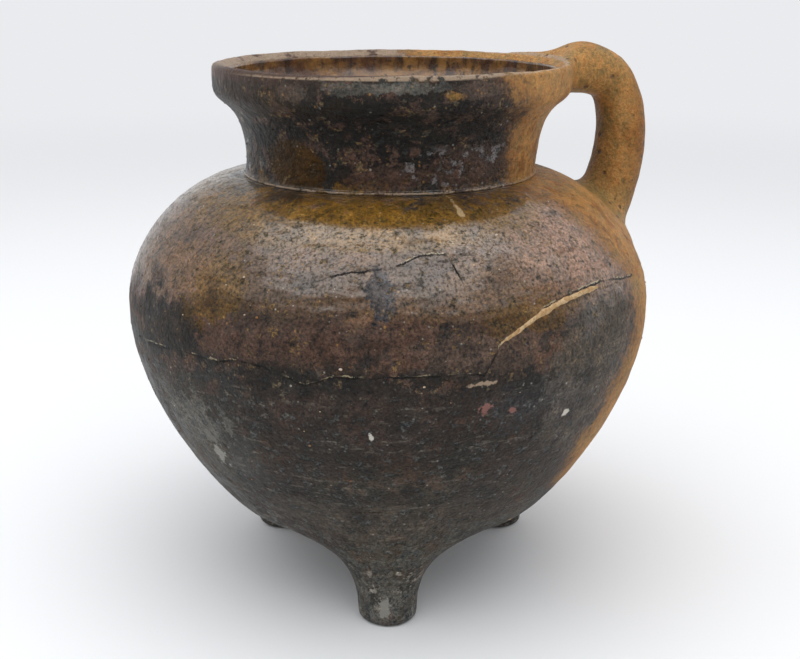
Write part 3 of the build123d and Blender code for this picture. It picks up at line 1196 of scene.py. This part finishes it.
def stripTree():
    # lays a path on the pot, sinks it a little and gives it a rough, tapering thickness
    tree, given, result = makeTree("fillerStrip", "GeometryNodeTree", {
        "Geometry": "Geometry",
        "Pot": "Object",
        "Radius": filler["radius"],
        "Sink": filler["sink"],
        "Seed": filler["seed"],
        "Material": "Material",
    }, {"Geometry": "Geometry"})
    fine = addNode(tree, "GeometryNodeResampleCurve", {"Curve": given["Geometry"], "Length": 0.5},
                   mode="LENGTH")
    nearest, unused, facing = nearestOn(tree, meshOf(tree, given["Pot"]))
    sunk = times(tree, facing, -given["Sink"])
    laid = moveTo(tree, fine.outputs[0], vectorMath(tree, "ADD", nearest, sunk))
    along = Wire(addNode(tree, "GeometryNodeSplineParameter").outputs["Factor"])
    ends = along.ramp(0.0, 0.10, 0.75, 1.0) * along.ramp(1.0, 0.84, 0.72, 1.0)
    own = position(tree)
    rough = cloud(tree, own, 2.4, 3.0, 0.7, given["Seed"]).ramp(0.3, 0.7, 0.9, 1.1)
    circle = addNode(tree, "GeometryNodeCurvePrimitiveCircle", {"Resolution": 10, "Radius": 1.0})
    tube = addNode(tree, "GeometryNodeCurveToMesh", {
        "Curve": laid, "Profile Curve": circle.outputs[0],
        "Scale": ends * rough * given["Radius"], "Fill Caps": True})
    grain = addNode(tree, "ShaderNodeTexNoise", {"Vector": own, "Scale": 0.9, "W": given["Seed"]},
                    noise_dimensions="4D")
    shake = vectorMath(tree, "SUBTRACT", grain.outputs["Color"], (0.5, 0.5, 0.5))
    uneven = addNode(tree, "GeometryNodeSetPosition",
                     {"Geometry": tube.outputs[0], "Offset": times(tree, shake, 0.1)})
    endTree(tree, result, uneven.outputs[0], given["Material"])
    return tree


def fillerPath():
    inside = [(angle, height) for angle, height in breakLine if filler["from"] - 1 < angle < filler["to"]]
    return [(*roundPot(angle, pot["bellyRadius"] - 1.5, height), 1.0) for angle, height in inside]


breakFiller = applyTree(pathCurve("breakFiller", [fillerPath()]), stripTree(),
                        {"Pot": potBody, "Material": paleFiller})
closeUp(breakFiller)


# Grit that stands out of the clay, and small white chips of lime in it

grit = {"density": 0.006, "small": 0.16, "large": 0.5, "seed": 11}
lime = {"density": 0.0009, "small": 0.2, "large": 0.7, "seed": 23}


def gritTree():
    tree, given, result = makeTree("gritInClay", "GeometryNodeTree", {
        "Geometry": "Geometry",
        "Density": 0.004,
        "Highest": 180.0,
        "Smallest": 0.2,
        "Largest": 0.5,
        "Seed": 1,
        "Material": "Material",
    }, {"Geometry": "Geometry"})
    outwardX, outwardY = split(tree, addNode(tree, "GeometryNodeInputNormal").outputs[0])[:2]
    x, y, height = split(tree, position(tree))
    facing = outwardX * (x - potAxis.x) + outwardY * y
    outside = facing.math("GREATER_THAN", 4.0) * height.math("LESS_THAN", given["Highest"])
    points = addNode(tree, "GeometryNodeDistributePointsOnFaces", {
        "Mesh": given["Geometry"], "Selection": outside,
        "Density": given["Density"], "Seed": given["Seed"]})
    stone = addNode(tree, "GeometryNodeMeshIcoSphere", {"Radius": 1.0, "Subdivisions": 2})
    random = addNode(tree, "FunctionNodeRandomValue", {"Seed": given["Seed"]}, data_type="FLOAT")
    chance = Wire(random.outputs[1])
    size = chance * chance * chance * (given["Largest"] - given["Smallest"]) + given["Smallest"]
    flattened = combine(tree, size * 1.25, size * 0.9, size * 0.55)
    placed = addNode(tree, "GeometryNodeInstanceOnPoints", {
        "Points": points.outputs["Points"], "Instance": stone.outputs["Mesh"],
        "Rotation": points.outputs["Rotation"], "Scale": flattened})
    endTree(tree, result, placed.outputs[0], given["Material"])
    return tree


def gritPiece(name, sizes, material):
    piece = applyTree(newObject(name, potBody.data.copy()), gritted, {
        "Density": sizes["density"], "Smallest": sizes["small"], "Largest": sizes["large"],
        "Seed": sizes["seed"], "Material": material})
    closeUp(piece)
    return piece


gritted = gritTree()
clayGrit = gritPiece("clayGrit", grit, firedClay)
limeChips = gritPiece("limeChips", lime, limeWhite)
bpy.data.objects.remove(solidPot)
potBody.data.transform(Matrix.Scale(mm, 4))
print("filler and grit laid in")

for piece, node, slot in (
    (potBody, "pot_body", "fired_clay"),
    (glazeLining, "glaze_lining", "lead_glaze"),
    (earHandle, "handle", "handle_clay"),
    (breakFiller, "break_fill", "pale_filler"),
    (footPieces["footFront"], "front_foot", "sooted_clay"),
    (footPieces["footRight"], "right_foot", "sooted_clay"),
    (footPieces["footLeft"], "left_foot", "sooted_clay"),
    (clayGrit, None, "fired_clay"),
    (limeChips, None, "fired_clay"),
):
    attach(piece, "root")
    if node:
        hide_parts(node)


# Camera, floor and light

view = {
    "lens": 53.505,
    "place": (-0.10769, -0.40679, 0.216),
    "down": 16.88,
    "turn": -15.0,
}
studio = {
    "floor": hue(238, 239, 241),
    "backdrop": hue(234, 235, 238),
    "floorRadius": 12.0,
    "fadeFrom": 0.35,
    "fadeTo": 1.6,
    "roomLight": 0.12,  # what gloss sees behind the camera, where the studio is dim
    "skyColour": (0.97, 0.985, 1.0, 1.0),
    "skyLight": 0.6,
    "skySeen": 0.84,
    "lamps": [((3.8, 1.9), 1.15, 13.0), ((1.7, 1.2), 1.08, 8.0)],  # size, distance and watts of each
    "lampHeight": 76.0,  # degrees above the horizon, on the camera's side
    "lampTurn": -12.0,
}


def addCamera():
    camera = newObject("camera", bpy.data.cameras.new("camera"))
    camera.data.lens = view["lens"]
    camera.data.sensor_width = 36.0
    camera.data.clip_start = 0.01
    camera.location = view["place"]
    camera.rotation_euler = (math.radians(90 - view["down"]), 0, math.radians(view["turn"]))
    bpy.context.scene.camera = camera


def gleam(tree, direction):
    # what gloss sees far off: the backdrop, and a dim room on the camera's side
    turn = math.radians(view["turn"])
    behind = vectorMath(tree, "DOT_PRODUCT", direction, (-math.sin(turn), math.cos(turn), 0.0))
    return behind.ramp(-0.3, 0.3, studio["roomLight"], 1.0)


def seenRays(tree):
    # straight views of the background, and views of it in something glossy
    path = addNode(tree, "ShaderNodeLightPath")
    straight = Wire(path.outputs["Is Camera Ray"]).most(path.outputs["Is Transmission Ray"])
    return straight, Wire(path.outputs["Is Glossy Ray"])


def addFloor():
    mesh = bpy.data.meshes.new("floor")
    work = bmesh.new()
    bmesh.ops.create_circle(work, cap_ends=True, segments=96, radius=studio["floorRadius"])
    work.to_mesh(mesh)
    work.free()
    floor = newObject("floor", mesh)
    material, tree, shader = newMaterial("paleFloor")
    shader.inputs["Base Color"].default_value = studio["floor"]
    shader.inputs["Roughness"].default_value = 0.9
    shader.inputs["Specular IOR Level"].default_value = 0.1
    coords = addNode(tree, "ShaderNodeTexCoord").outputs["Object"]
    away = vectorMath(tree, "LENGTH", coords).ramp(studio["fadeFrom"], studio["fadeTo"])
    straight, gloss = seenRays(tree)
    glow = addNode(tree, "ShaderNodeEmission", {
        "Color": studio["backdrop"],
        "Strength": straight + gloss * gleam(tree, vectorMath(tree, "NORMALIZE", coords))})
    mixed = addNode(tree, "ShaderNodeMixShader", {
        0: away * straight.most(gloss), 1: shader.outputs[0], 2: glow.outputs[0]})
    plug(tree.nodes["Material Output"].inputs["Surface"], mixed.outputs[0])
    mesh.materials.append(material)


def addLamps():
    rise = math.radians(studio["lampHeight"])
    turn = math.radians(view["turn"] + studio["lampTurn"])
    toLamp = Vector((math.sin(turn) * math.cos(rise), -math.cos(turn) * math.cos(rise), math.sin(rise)))
    for size, distance, watts in studio["lamps"]:
        lamp = newObject("softbox", bpy.data.lights.new("softbox", "AREA"))
        lamp.data.shape = "RECTANGLE"
        lamp.data.size, lamp.data.size_y = size
        lamp.data.energy = watts
        lamp.location = Vector((0, 0, 0.1)) + toLamp * distance
        lamp.rotation_euler = toLamp.to_track_quat("Z", "Y").to_euler()


def addSky():
    world = bpy.data.worlds.new("studio")
    bpy.context.scene.world = world
    world.use_nodes = True
    tree = world.node_tree
    sky = tree.nodes["Background"]
    sky.inputs["Color"].default_value = studio["skyColour"]
    direction = addNode(tree, "ShaderNodeTexCoord").outputs["Generated"]
    straight, gloss = seenRays(tree)
    light = (1.0 - straight - gloss) * studio["skyLight"] + straight * studio["skySeen"]
    plug(sky.inputs["Strength"], light + gloss * gleam(tree, direction) * studio["skySeen"])


addCamera()
addFloor()
addLamps()
addSky()
bpy.context.scene.view_settings.view_transform = "Standard"
print("camera, floor and light set")
